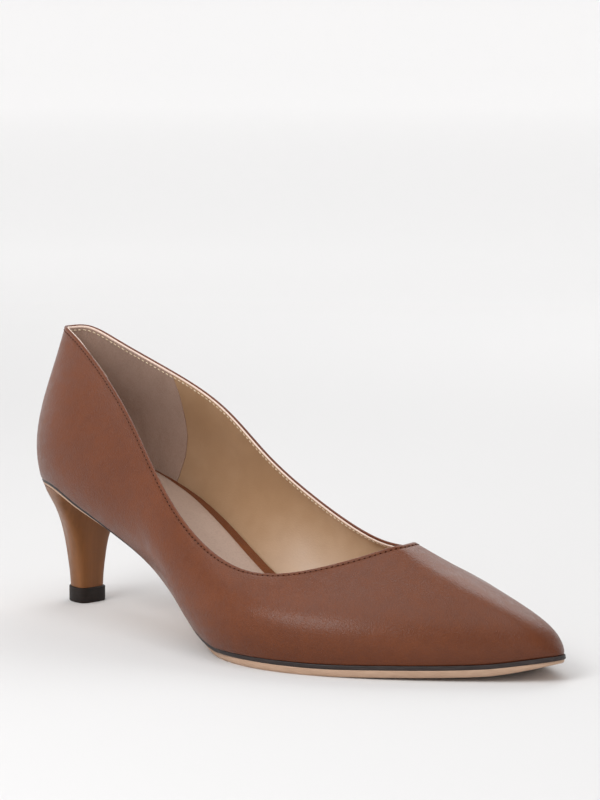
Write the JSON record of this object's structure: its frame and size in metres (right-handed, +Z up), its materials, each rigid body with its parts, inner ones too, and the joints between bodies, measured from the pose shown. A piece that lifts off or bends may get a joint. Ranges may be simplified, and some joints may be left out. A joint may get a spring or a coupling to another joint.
{
  "type": "kitten heel pump",
  "caption": "Women's kitten heel pump with a pointed toe: brown leather upper, stitched topline, thin tan sole with a black edge line, and a low curved heel.",
  "frame": {"origin": "centre of the heel tip's floor face", "axes": "+X to the toe, +Y to the wearer's inner side, +Z up"},
  "size_m": [0.2537, 0.0937, 0.1095],
  "materials": {
    "upper": "burnished cognac leather, fine grain",
    "insole": "brown leather cover",
    "sock": "pale pink-beige footbed leather",
    "midsole": "black edge",
    "outsole": "tan, smooth",
    "heel": "smooth brown cover",
    "heel_tip": "dense black top piece",
    "back_strip": "brown leather strip, dark painted edges"
  },
  "bodies": {
    "root": {"upper": "upper", "insole": "insole", "sock": "sock", "midsole": "midsole", "outsole": "outsole", "heel": "heel", "heel_tip": "heel_tip", "back_strip": "back_strip"}
  },
  "joints": []
}
